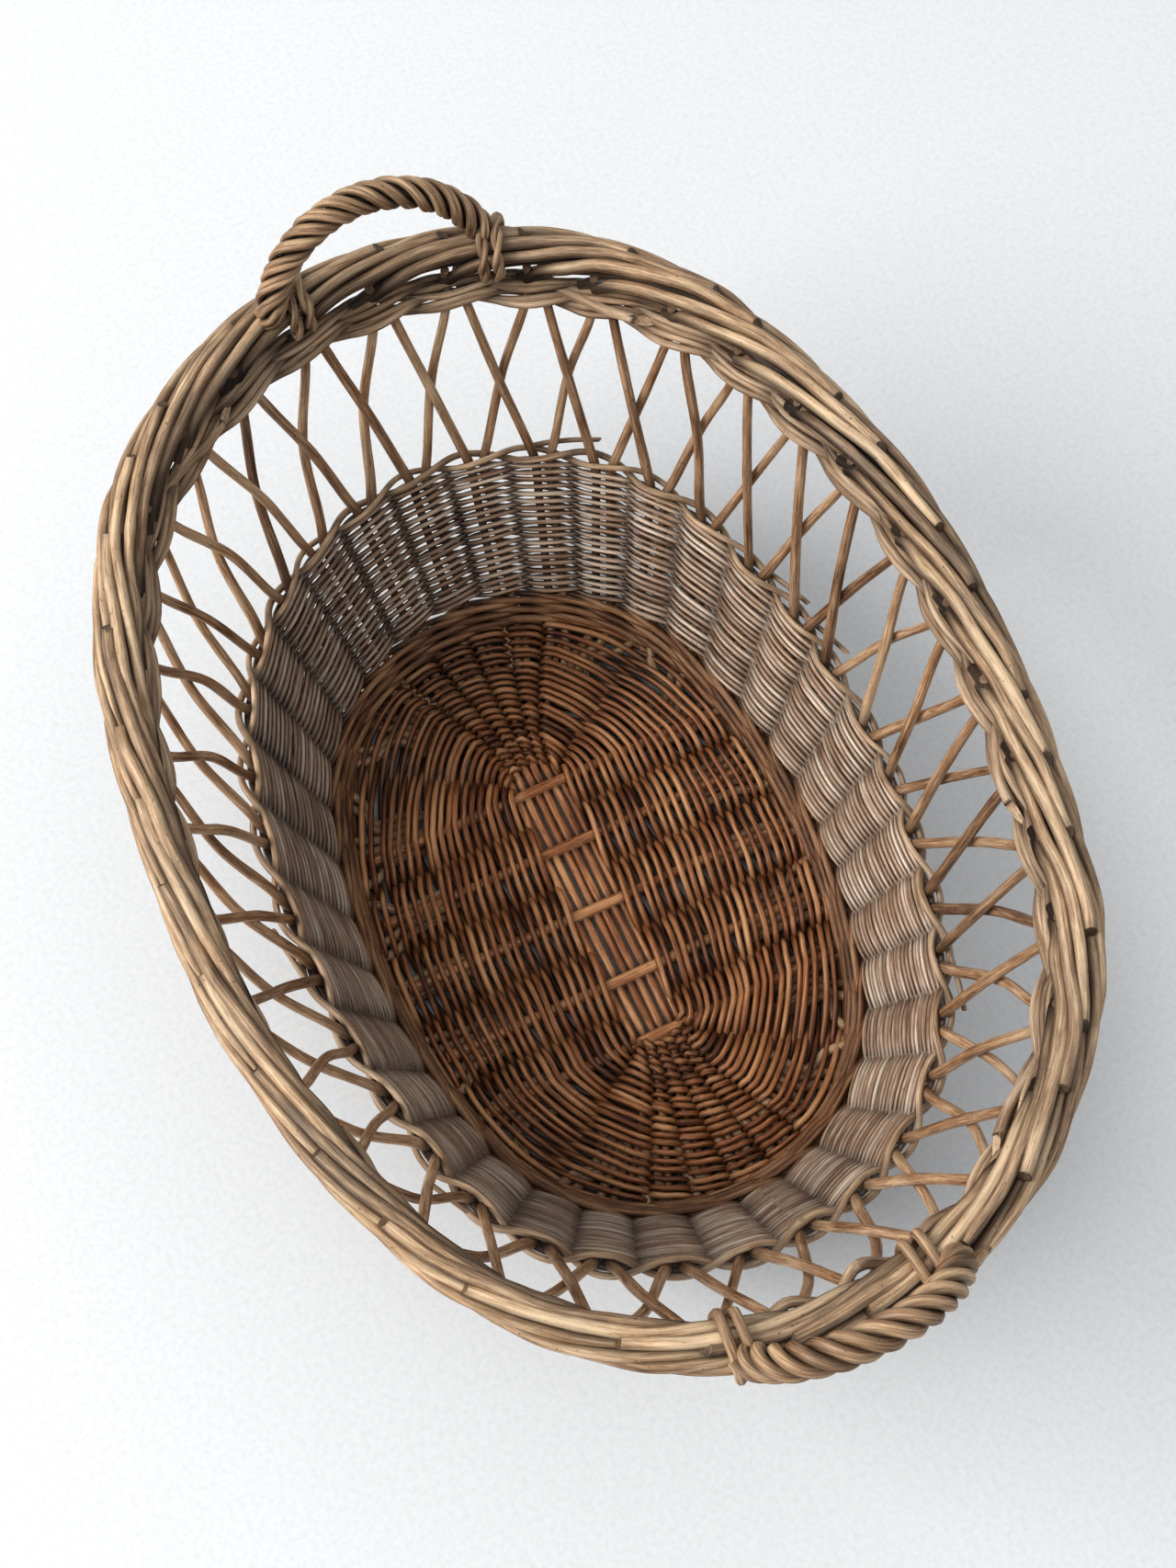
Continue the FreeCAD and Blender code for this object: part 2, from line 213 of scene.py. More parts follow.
# ------------------------------------------------------------------ rods
class Rods:
    """Collects many rods as tubes and makes one mesh of them."""

    def __init__(self, name, sides=8):
        self.name, self.sides = name, sides
        self.V, self.F4, self.caps, self.co, self.rn = [], [], [], [], []
        self.nv = 0

    def add(self, P, R, closed=False, dirt=None, squash=None, cut0=0.0, cut1=0.0, tone=None, sides=None, end_tone=0.0, caps=True, u0=None, face=None, flank=0.0):
        P = np.asarray(P, float)
        n = len(P)
        m = sides or self.sides
        R = np.broadcast_to(np.asarray(R, float), (n,)).copy()
        if closed:
            D = np.roll(P, -1, 0) - np.roll(P, 1, 0)
        else:
            D = np.gradient(P, axis=0)
        D /= np.maximum(np.linalg.norm(D, axis=1, keepdims=True), 1e-9)
        # parallel transport of a frame along the rod
        ref = np.array([0.0, 0.0, 1.0]) if abs(D[0][2]) < 0.9 else np.array([1.0, 0, 0])
        if u0 is not None:
            ref = np.asarray(u0, float)
        u = ref - D[0] * ref.dot(D[0])
        u /= np.linalg.norm(u)
        U = np.empty((n, 3))
        U[0] = u
        for i in range(1, n):
            u = u - D[i] * u.dot(D[i])
            u /= max(np.linalg.norm(u), 1e-9)
            U[i] = u
        W = np.cross(D, U)
        phi = np.linspace(0, 2 * np.pi, m, endpoint=False) + rng.uniform(0, 6.28)
        twist = np.zeros(n)
        if closed:
            uu = U[-1] - D[0] * U[-1].dot(D[0])
            uu /= np.linalg.norm(uu)
            ang = math.atan2(uu.dot(W[0]), uu.dot(U[0]))
            twist = -ang * np.arange(n) / n
        a = phi[None, :] + twist[:, None]
        ca, sa = np.cos(a), np.sin(a)
        rr = R[:, None] * np.ones((1, m))
        ring = P[:, None, :] + rr[..., None] * (ca[..., None] * U[:, None, :] + sa[..., None] * W[:, None, :])
        if not closed:
            for end, c in ((0, cut0), (-1, cut1)):
                if c:
                    ring[end] += (c * R[end] * ca[end])[:, None] * D[end][None]
        if squash is not None:
            # flatten in z about the centre line
            ring[..., 2] = P[:, None, 2] + (ring[..., 2] - P[:, None, 2]) * squash
        L = np.concatenate([[0], np.cumsum(np.linalg.norm(np.diff(P, axis=0), axis=1))])
        base = self.nv
        self.V.append(ring.reshape(-1, 3))
        co = np.stack([np.broadcast_to(L[:, None], (n, m)), rr * np.cos(phi)[None], rr * np.sin(phi)[None]], -1)
        self.co.append(co.reshape(-1, 3))
        t = rng.uniform(0, 1) if tone is None else tone
        d = np.zeros(n) if dirt is None else np.broadcast_to(np.asarray(dirt, float), (n,))
        rn = np.empty((n, m, 3))
        rn[..., 0] = t
        rn[..., 1] = d[:, None]
        # painted shade: rod sides turned away from the face direction are darkened, standing in for shade between
        # neighbouring rods
        if face is not None:
            nrm = ca[..., None] * U[:, None, :] + sa[..., None] * W[:, None, :]
            crest = np.abs((nrm * np.broadcast_to(np.asarray(face, float), (n, 3))[:, None, :]).sum(-1))
            rn[..., 1] = np.clip(rn[..., 1] + flank * (1 - crest ** 2) ** 2, 0, 1)
        rn[..., 2] = rng.uniform(0, 1)
        self.rn.append(rn.reshape(-1, 3))
        self.nv += n * m
        i = np.arange(n if closed else n - 1)[:, None]
        j = np.arange(m)[None]
        i2, j2 = (i + 1) % n, (j + 1) % m
        q = np.stack([base + i * m + j, base + i * m + j2, base + i2 * m + j2, base + i2 * m + j], -1)
        self.F4.append(q.reshape(-1, 4))
        if not closed and caps:
            for end, flip in ((0, True), (n - 1, False)):
                b2 = self.nv
                v = ring[end]
                self.V.append(v)
                c2 = co[end] * np.array([1, 1, 1.0])
                self.co.append(c2)
                r3 = rn[end].copy()
                r3[:, 0] = 0.5 + end_tone
                self.rn.append(r3)
                self.nv += m
                f = list(range(b2, b2 + m))
                self.caps.append(f[::-1] if flip else f)

    def build(self, mat, slot, replaces=()):
        V = (np.vstack(self.V)) * 0.001 + SHIFT[None]
        F4 = np.vstack(self.F4)
        me = bpy.data.meshes.new(self.name)
        nf4, nc = len(F4), len(self.caps)
        cap_idx = np.array([i for c in self.caps for i in c], dtype=np.int64)
        loops = np.concatenate([F4.reshape(-1), cap_idx]).astype(np.int32)
        starts = np.concatenate([np.arange(nf4) * 4, nf4 * 4 + np.cumsum([0] + [len(c) for c in self.caps])[:-1] if nc else np.zeros(0)]).astype(np.int32)
        me.vertices.add(len(V))
        me.vertices.foreach_set("co", V.astype(np.float32).ravel())
        me.loops.add(len(loops))
        me.loops.foreach_set("vertex_index", loops)
        me.polygons.add(nf4 + nc)
        me.polygons.foreach_set("loop_start", starts)
        me.update(calc_edges=True)
        me.validate()
        me.polygons.foreach_set("use_smooth", np.ones(len(me.polygons), dtype=bool))
        for nm, arr in (("rodco", np.vstack(self.co) * 0.001), ("rodrnd", np.vstack(self.rn))):
            at = me.attributes.new(nm, 'FLOAT_VECTOR', 'POINT')
            at.data.foreach_set("vector", arr.astype(np.float32).ravel())
        me.update()
        ob = bpy.data.objects.new(self.name, me)
        bpy.context.scene.collection.objects.link(ob)
        me.materials.append(mat)
        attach(ob, "root")
        if replaces:
            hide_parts(*replaces)
        print("piece %-26s verts %7d faces %7d" % (self.name, len(me.vertices), len(me.polygons)))
        return ob


def lin(c):
    c = np.asarray(c, float) / 255.0
    return tuple(np.where(c <= 0.04045, c / 12.92, ((c + 0.055) / 1.055) ** 2.4)) + (1.0,)


# ------------------------------------------------------------------ materials
def willow(name, dark, mid, light, dirt, rough=0.5, grey=0.0, grey_col=(150, 140, 128), painted_top_highlight=0.0, spec=0.5, bump=0.35, spots=0.5, coat=0.0):
    """Aged willow rod: fibre streaks along the rod, per-rod tone, weathered blotches, small bud scars;
    a dark mix stated per point that is partly grime and mostly painted shade where rods dive under neighbours and lie
    hidden."""
    m = bpy.data.materials.new(name)
    m.use_nodes = True
    nt = m.node_tree
    N, Lk = nt.nodes, nt.links
    for n in list(N):
        N.remove(n)
    out = N.new("ShaderNodeOutputMaterial")
    bs = N.new("ShaderNodeBsdfPrincipled")
    Lk.new(bs.outputs["BSDF"], out.inputs["Surface"])
    bs.inputs["IOR"].default_value = 1.45
    bs.inputs["Specular IOR Level"].default_value = spec
    if coat:
        bs.inputs["Coat Weight"].default_value = coat
        bs.inputs["Coat Roughness"].default_value = 0.35

    def mth(op, a, b=None, clamp=False):
        n = N.new("ShaderNodeMath")
        n.operation = op
        n.use_clamp = clamp
        for k, v in ((0, a), (1, b)):
            if v is None:
                continue
            if isinstance(v, (int, float)):
                n.inputs[k].default_value = v
            else:
                Lk.new(v, n.inputs[k])
        return n.outputs[0]

    def mix(fac, a, b, mode='MIX'):
        n = N.new("ShaderNodeMix")
        n.data_type = 'RGBA'
        n.blend_type = mode
        n.clamp_factor = True
        if isinstance(fac, (int, float)):
            n.inputs[0].default_value = fac
        else:
            Lk.new(fac, n.inputs[0])
        for k, v in ((6, a), (7, b)):
            if isinstance(v, tuple):
                n.inputs[k].default_value = v
            else:
                Lk.new(v, n.inputs[k])
        return n.outputs[2]

    def noise(vec, scale, detail=3.0, rough_=0.6):
        n = N.new("ShaderNodeTexNoise")
        n.inputs["Scale"].default_value = scale
        n.inputs["Detail"].default_value = detail
        n.inputs["Roughness"].default_value = rough_
        Lk.new(vec, n.inputs["Vector"])
        return n.outputs["Fac"]

    def mrange(v, a, b, c=0.0, d=1.0):
        n = N.new("ShaderNodeMapRange")
        n.inputs[1].default_value = a
        n.inputs[2].default_value = b
        n.inputs[3].default_value = c
        n.inputs[4].default_value = d
        Lk.new(v, n.inputs[0])
        return n.outputs[0]

    co = N.new("ShaderNodeAttribute")
    co.attribute_name = "rodco"
    rn = N.new("ShaderNodeAttribute")
    rn.attribute_name = "rodrnd"
    sep = N.new("ShaderNodeSeparateXYZ")
    Lk.new(rn.outputs["Vector"], sep.inputs[0])
    tone, shade_and_grime_mask, rnd = sep.outputs[0], sep.outputs[1], sep.outputs[2]
    off = N.new("ShaderNodeVectorMath")
    off.operation = 'SCALE'
    Lk.new(rn.outputs["Vector"], off.inputs[0])
    off.inputs["Scale"].default_value = 0.0
    comb = N.new("ShaderNodeCombineXYZ")
    Lk.new(mth('MULTIPLY', rnd, 37.0), comb.inputs[0])
    Lk.new(mth('MULTIPLY', rnd, 91.0), comb.inputs[1])
    Lk.new(mth('MULTIPLY', tone, 53.0), comb.inputs[2])

    def rodvec(sa, sr):
        mp = N.new("ShaderNodeVectorMath")
        mp.operation = 'MULTIPLY_ADD'
        Lk.new(co.outputs["Vector"], mp.inputs[0])
        mp.inputs[1].default_value = (sa, sr, sr)
        Lk.new(comb.outputs[0], mp.inputs[2])
        return mp.outputs[0]

    fibre = noise(rodvec(38.0, 780.0), 1.0, 3.0, 0.65)
    fine = noise(rodvec(160.0, 2600.0), 1.0, 2.0, 0.6)
    patch = noise(rodvec(28.0, 90.0), 1.0, 2.0, 0.5)
    spot = noise(rodvec(420.0, 500.0), 1.0, 1.0, 0.5)
    geo = N.new("ShaderNodeNewGeometry")
    tex = N.new("ShaderNodeTexCoord")
    blot = noise(tex.outputs["Object"], 14.0, 3.0, 0.55)

    # tone: mostly fibre, some rod-to-rod
    t1 = mth('ADD', mth('MULTIPLY', fibre, 1.25), mth('MULTIPLY', tone, 0.50))
    t1 = mth('ADD', mth('SUBTRACT', t1, 0.39), mth('MULTIPLY', mth('SUBTRACT', patch, 0.5), 0.85))
    t1 = mth('ADD', t1, mth('MULTIPLY', mth('SUBTRACT', fine, 0.5), 0.50))
    ramp = N.new("ShaderNodeValToRGB")
    el = ramp.color_ramp.elements
    el[0].position, el[0].color = 0.16, lin(dark)
    el[1].position, el[1].color = 0.86, lin(light)
    e = el.new(0.48)
    e.color = lin(mid)
    Lk.new(t1, ramp.inputs["Fac"])
    col = ramp.outputs["Color"]
    if grey:
        g = mrange(mth('ADD', mth('MULTIPLY', blot, 0.7), mth('MULTIPLY', patch, 0.5)), 0.45, 0.85)
        gc = mix(fibre, lin(tuple(v * 0.55 for v in grey_col)), lin(grey_col))
        col = mix(mth('MULTIPLY', g, grey), col, gc)
    # painted highlight: faces whose normal points up are mixed towards the light colour
    if painted_top_highlight:
        nz = N.new("ShaderNodeSeparateXYZ")
        Lk.new(geo.outputs["Normal"], nz.inputs[0])
        up = mrange(nz.outputs[2], 0.15, 0.95)
        col = mix(mth('MULTIPLY', mth('MULTIPLY', up, painted_top_highlight), mrange(fibre, 0.3, 0.6, 0.45, 1.0)), col, lin(light))
    if spots:
        sp = mrange(spot, 0.70, 0.78)
        col = mix(mth('MULTIPLY', sp, spots), col, lin(tuple(v * 0.45 for v in dark)))
    # grime and painted shade: stated per point, broken up by the blotches
    gm = mth('MULTIPLY', shade_and_grime_mask, mrange(mth('ADD', mth('MULTIPLY', blot, 0.5), mth('MULTIPLY', fibre, 0.5)), 0.25, 0.65, 0.55, 1.15), True)
    col = mix(gm, col, lin(dirt))
    Lk.new(col, bs.inputs["Base Color"])
    Lk.new(mrange(mth('ADD', mth('MULTIPLY', fibre, 0.6), mth('MULTIPLY', blot, 0.4)), 0.25, 0.75, rough - 0.12, rough + 0.14), bs.inputs["Roughness"])
    bp = N.new("ShaderNodeBump")
    bp.inputs["Strength"].default_value = bump
    bp.inputs["Distance"].default_value = 0.0006
    Lk.new(mth('ADD', mth('MULTIPLY', fibre, 0.7), mth('MULTIPLY', fine, 0.5)), bp.inputs["Height"])
    Lk.new(bp.outputs["Normal"], bs.inputs["Normal"])
    return m


M_BASE = willow("base_willow", (90, 46, 23), (170, 111, 68), (226, 176, 128), (26, 12, 6), rough=0.42, grey=0.14, grey_col=(176, 150, 124), spots=0.5, coat=0.2)
M_WEAVE = willow("weaver_willow", (102, 71, 49), (184, 151, 124), (250, 234, 214), (36, 20, 12), rough=0.34, grey=0.36, grey_col=(212, 194, 174), spots=0.45, spec=0.85, coat=0.15)
M_UPSETT = willow("upsett_willow", (88, 54, 33), (160, 116, 80), (212, 174, 134), (38, 20, 12), rough=0.44, grey=0.32, grey_col=(172, 152, 132), spots=0.5)
M_STAKE = willow("stake_willow", (94, 64, 42), (162, 126, 94), (218, 188, 154), (46, 27, 17), rough=0.5, grey=0.4, grey_col=(178, 164, 148), spots=0.7)
M_BORDER = willow("border_willow", (78, 55, 38), (164, 130, 98), (236, 210, 176), (34, 22, 15), rough=0.5, grey=0.45, grey_col=(174, 163, 148), painted_top_highlight=0.22, spots=0.55)
M_FITCH = willow("fitch_willow", (88, 64, 46), (166, 136, 107), (230, 204, 174), (40, 26, 18), rough=0.5, grey=0.45, grey_col=(178, 166, 150), painted_top_highlight=0.15, spots=0.45)
M_HANDLE = willow("handle_willow", (74, 50, 34), (148, 116, 88), (222, 192, 156), (30, 18, 12), rough=0.46, grey=0.32, grey_col=(168, 154, 138), painted_top_highlight=0.2, spots=0.5)


# ------------------------------------------------------------------ base
def taper(n, r0, r1, knots=2, amp=0.07):
    r = np.linspace(r0, r1, n)
    for _ in range(knots):
        c = rng.uniform(0.05, 0.95) * n
        w = rng.uniform(0.008, 0.018) * n + 1.0
        r = r * (1 + amp * rng.uniform(0.4, 1.0) * np.exp(-((np.arange(n) - c) / w) ** 2))
    return r


EDGE = (212.7, 145.1, 132.8)
CROSS_X = np.array([-87.0, -41.5, 6.0, 57.0, 99.5])
spokes = []          # polylines from the middle outwards, mm, plan view


def y_on(dims, x):
    s = np.linspace(0, 0.5, 2001)
    P, _ = oval(*dims, s)
    return float(np.interp(x, P[::-1, 0], P[::-1, 1]))


sticks = Rods("base_cross_sticks_detail", 12)
for x in CROSS_X:
    e = y_on((202.0, 134.5, 122.5), x)
    y = np.linspace(-e, e, 70)
    wob = smooth_noise(70, 20, 0.5)
    P = np.stack([x + wob + 0.010 * y * rng.uniform(-1, 1), y, np.full(70, Z_BASE)], 1)
    R = taper(70, 4.4, 3.8, 2, 0.05)
    w = np.exp(-(y / 21.0) ** 4)
    # painted shade: slightly darker away from the window, where the cross sticks run under the weave rounds
    sticks.add(P, R * (1 + 0.06 * w), squash=None, tone=rng.uniform(0.55, 0.85), dirt=0.05 * (1 - w), cut0=0.4, cut1=0.4, face=(0, 0, 1), flank=0.5)
    spokes.append(np.stack([P[35:, 0], P[35:, 1]], 1))
    spokes.append(np.stack([P[:36, 0][::-1], P[:36, 1][::-1]], 1))
LONG_N = 6
for j in range(LONG_N):
    k = j - (LONG_N - 1) / 2.0
    y = k * 6.7 + rng.uniform(-0.5, 0.5)
    ang = math.radians(k * 12.0)
    ends = []
    for sg in (-1, 1):
        d = 96.0 if abs(k) < 2 else 84.0
        ends.append(np.array([sg * (108.0 + d * math.cos(ang)), y + d * math.sin(ang)]))
    ctrl = [[ends[0][0], ends[0][1]], [-150, y + 38 * math.tan(ang) * 0.9], [-112, y + 0.3 * k], [-60, y], [0, y + rng.uniform(-0.6, 0.6)], [60, y], [112, y + 0.3 * k], [150, y + 38 * math.tan(ang) * 0.9], [ends[1][0], ends[1][1]]]
    C = resample(catmull(ctrl, 16), 2.4)
    n = len(C)
    zz = np.full(n, Z_BASE) + 0.25 * math.sin(j * 2.1)
    P = np.column_stack([C, zz])
    r = (2.8 if j != LONG_N - 1 else 2.4)
    near = np.min(np.abs(C[:, 0][:, None] - CROSS_X[None]), axis=1)
    # painted shade: darker beside each cross stick where the long stick passes under it, and past |x| = 100 under the
    # weave
    sticks.add(P, taper(n, r, r * 0.93, 2, 0.05), tone=rng.uniform(0.45, 0.95), dirt=np.clip(0.15 * np.clip((np.abs(C[:, 0]) - 100) / 30, 0, 1) + 0.65 * np.exp(-(near / 6.4) ** 4), 0, 1), cut0=0.4, cut1=0.4, face=(0, 0, 1), flank=0.4)
    mid = n // 2
    spokes.append(C[mid:])
    spokes.append(C[:mid + 1][::-1])

# the rounds of the base weave are nested ovals
ROUNDS = 20


def round_dims(g):
    a = 107.5 + (209.5 - 107.5) * g
    b = 20.5 + (142.0 - 20.5) * g
    f = 0.965 - 0.055 * np.clip(g * 2.2, 0, 1)
    return a, b, b * f


S_DENSE = np.linspace(0, 1, 1440, endpoint=False)


def spoke_cross(g):
    """Where each spoke crosses the oval at g: fractions, sorted, with spoke ids."""
    P, _ = oval(*round_dims(g), S_DENSE)
    res = []
    for k, line in enumerate(spokes):
        L = resample(line, 1.5)
        d = np.hypot(P[:, None, 0] - L[None, :, 0], P[:, None, 1] - L[None, :, 1])
        i, j = np.unravel_index(d.argmin(), d.shape)
        res.append((S_DENSE[i], k))
    return sorted(res)


edge_cross = spoke_cross(0.97)
edge_s = np.array([s for s, k in edge_cross])
edge_k = [k for s, k in edge_cross]
# each stake of a pair joins the nearest spoke
groups = {k: [] for k in edge_k}
for i in range(PAIRS):
    for sense in (1, -1):
        s = S_LOW[i] + sense * 0.0035
        d = (s - edge_s + 0.5) % 1.0 - 0.5
        j = int(np.abs(d).argmin())
        groups[edge_k[j]].append((float(d[j]), i, sense))
butt = {}
for k, lst in groups.items():
    lst.sort()
    neg = [v for v in lst if v[0] < 0]
    pos = [v for v in lst if v[0] >= 0]
    for side, arr in ((-1, neg[::-1]), (1, pos)):
        for o, (d, i, sense) in enumerate(arr):
            butt[(i, sense)] = (k, side * (o + 1))


def base_weave(nm, rounds, rod_r, mat_tone):
    w = Rods(nm, 7)
    for j in rounds:
        g0 = j / (ROUNDS - 1.0)
        a, b, r = round_dims(g0)
        cr = spoke_cross(min(max(g0, 0.0), 0.97))
        sk = np.array([c[0] for c in cr])
        n = len(sk)
        P, N = oval(a, b, r, S_DENSE)
        per = np.sum(np.hypot(*np.diff(np.vstack([P, P[:1]]), axis=0).T))
        # half width of what the rods pass over, as a fraction of the oval
        hw = np.array([(5.0 if k < 10 else 3.6) + (6.0 + 3.5 * max(sum(1 for v in groups[k] if v[0] < 0), sum(1 for v in groups[k] if v[0] >= 0))) * np.clip((g0 - 0.52) / 0.2, 0, 1) for s, k in cr]) / per
        gap = np.diff(np.concatenate([sk, [sk[0] + 1.0]]))
        hw = np.minimum(hw, 0.30 * np.minimum(gap, np.roll(gap, 1)))
        # node number t(s): flat over a spoke, rising between spokes
        xs, ts = [], []
        for q in range(n + 1):
            c = sk[q % n] + (q // n)
            h = hw[q % n]
            xs += [c - h, c + h]
            ts += [q - 0.10, q + 0.10]
        xs, ts = np.array(xs), np.array(ts)
        step = 3.4 / per
        s = np.arange(sk[0], sk[0] + 1.0 - step / 2, step)
        t = np.interp(s, xs, ts)
        # soften the corners of t
        ker = np.ones(3) / 3
        t = np.convolve(np.concatenate([t[-3:] - n, t, t[:3] + n]), ker, 'same')[3:-3]
        wob = smooth_noise(len(s), 34, 0.62)
        wob[-8:] = np.linspace(wob[-8], wob[0], 8)
        knots_s = np.concatenate([sk, [sk[0] + 1.0]])
        knots_p, _ = oval(a, b, r, knots_s)
        chord = lambda v: np.stack([np.interp(v, knots_s, knots_p[:, 0]), np.interp(v, knots_s, knots_p[:, 1])], 1)
        kink = 0.5 if g0 < 0.8 else 0.5 - 0.5 * (g0 - 0.8) / 0.2
        lat_r = rng.uniform(-0.25, 0.25)
        for strand in (0, 1):
            ph = np.pi * t + strand * np.pi
            c = np.cos(ph)
            f = np.tanh(1.8 * c) / math.tanh(1.8)
            rr = rod_r * rng.uniform(0.92, 1.08) * (1.0 - 0.10 * np.clip((g0 - 0.5) / 0.2, 0, 1))
            amp = 3.9 + rr * 0.98
            lat = (1.95 + lat_r) * np.sin(ph) + wob
            P, N = oval(a, b, r, s)
            P = P * (1 - kink) + chord(s) * kink
            # keep the rods on the hidden side from cutting into one another
            Q = np.column_stack([P + N * lat[:, None], Z_BASE + amp * f])
            hid = np.clip(0.5 - 0.5 * f, 0, 1)
            # painted shade on the hidden underside where a rod dives beneath the spokes and at the far end (x < -80);
            # also darker towards the outer rounds
            dirt = 0.62 * hid ** 1.3 + 0.03 + 0.15 * np.clip((g0 - 0.4), 0, 1) + 0.25 * np.clip((-80.0 - Q[:, 0]) / 90.0, 0, 1)
            w.add(Q, rr * (1 + smooth_noise(len(s), 30, 0.035)), closed=True, dirt=np.clip(dirt, 0, 1), tone=np.clip(rng.normal(0.50, 0.27), 0, 1), face=(0, 0, 1), flank=0.55)
    return w.build(M_BASE, "base_willow", replaces=mat_tone)


sticks.build(M_BASE, "base_willow", ("base_cross_sticks", "base_long_sticks"))
base_weave("base_weave_inner_rounds", range(0, 10), 2.15, ("base_weave_upper",))
base_weave("base_weave_outer_rounds", range(10, ROUNDS), 2.2, ("base_weave_lower",))

# ------------------------------------------------------------------ side stakes
stake_inner = Rods("side_stakes_inner_detail", 10)
stake_outer = Rods("side_stakes_outer_detail", 10)
for i in range(PAIRS):
    for sense in (1, -1):
        k, slot_no = butt[(i, sense)]
        side = sense * (4.6 + rng.uniform(-0.5, 0.9))
        line = resample(spokes[k], 2.0)
        # distances along the spoke, outermost first
        g_in = rng.uniform(0.50, 0.62)
        Pin, _ = oval(*round_dims(g_in), S_DENSE)
        Pmid, _ = oval(*round_dims(0.80), S_DENSE)

        def at(Pov):
            d = np.hypot(Pov[:, None, 0] - line[None, :, 0], Pov[:, None, 1] - line[None, :, 1])
            a_, b_ = np.unravel_index(d.argmin(), d.shape)
            b_ = min(max(b_, 1), len(line) - 2)
            dirv = line[b_ + 1] - line[b_ - 1]
            dirv /= np.linalg.norm(dirv)
            return line[b_], np.array([-dirv[1], dirv[0]])
        p_in, n_in = at(Pin)
        p_mid, n_mid = at(Pmid)
        # left-hand normal of an outward line points along increasing s
        o = slot_no * 5.9
        r_low = rng.uniform(3.0, 3.5)
        r_top = rng.uniform(2.75, 3.15) if sense > 0 else rng.uniform(2.4, 2.9)
        c0 = np.append(p_in + n_in * o * 0.95, Z_BASE)
        c1 = np.append(p_mid + n_mid * o * 1.02, Z_BASE)
        e0 = wall(S_LOW[i], Z_BASE, side, -9.0)
        ctrl = [c0, c1, 0.35 * c1 + 0.65 * e0, wall(S_LOW[i], Z_BASE + 2.6, side, -0.6), wall(S_LOW[i], 21.0, side, 0.4),
                wall(S_LOW[i], 60.0, side * 0.98), wall(S_LOW[i], 100.0, side * 0.95), wall(S_LOW[i], 122.0, side * 0.95)]
        sm = 0.5 * (node_s(i, S_LOW) + node_s(i + sense, S_TOP))
        bow = rng.uniform(-1.6, 1.6)
        t_end = i + sense
        se = node_s(t_end, S_TOP)
        jog = rng.uniform(-0.0015, 0.0015)
        q = 0.16
        ctrl += [wall(S_LOW[i] * (1 - q) + se * q, Z_NODE + 12.0, side * 0.7, -sense * 0.8),
                 wall(sm + jog, Z_CROSS, bow, -sense * 3.9),
                 wall(S_LOW[i] * 0.14 + se * 0.86, 221.0, -side * 0.55, -sense * 1.6),
                 wall(se, 239.0, -side * 0.95), wall(se, 250.0, -side * 0.9, -0.5), wall(se, 259.0, -side * 0.8, -3.0)]
        C = resample(catmull(ctrl, 14), 3.4)
        n = len(C)
        z = C[:, 2]
        R = np.interp(z, [0, 14, 30, 112, 124, 262], [r_low, r_low, 2.8, 2.8, r_low * 0.98, r_top]) * taper(n, 1.0, 1.0, 5, 0.06)
        # painted shade: stakes darkened where hidden behind the side weave (z 30-120), under the top wale near z 126
        # and behind the rim bands above z 232; a little darker at the foot
        dirt = 0.6 * np.exp(-((z - 126.0) / 9.0) ** 2) + 0.10 * (z < 14) + 0.85 * ((z >= 30) & (z < 120)) + 0.45 * np.clip((z - 232) / 12, 0, 1)
        (stake_inner if sense > 0 else stake_outer).add(C, R, dirt=np.clip(dirt, 0, 1), cut0=1.2, tone=np.clip(rng.normal(0.5 if sense > 0 else 0.55, 0.17), 0, 1))
stake_inner.build(M_STAKE, "stake_willow", ("side_stakes_inner",))
stake_outer.build(M_STAKE, "stake_willow", ("side_stakes_outer",))


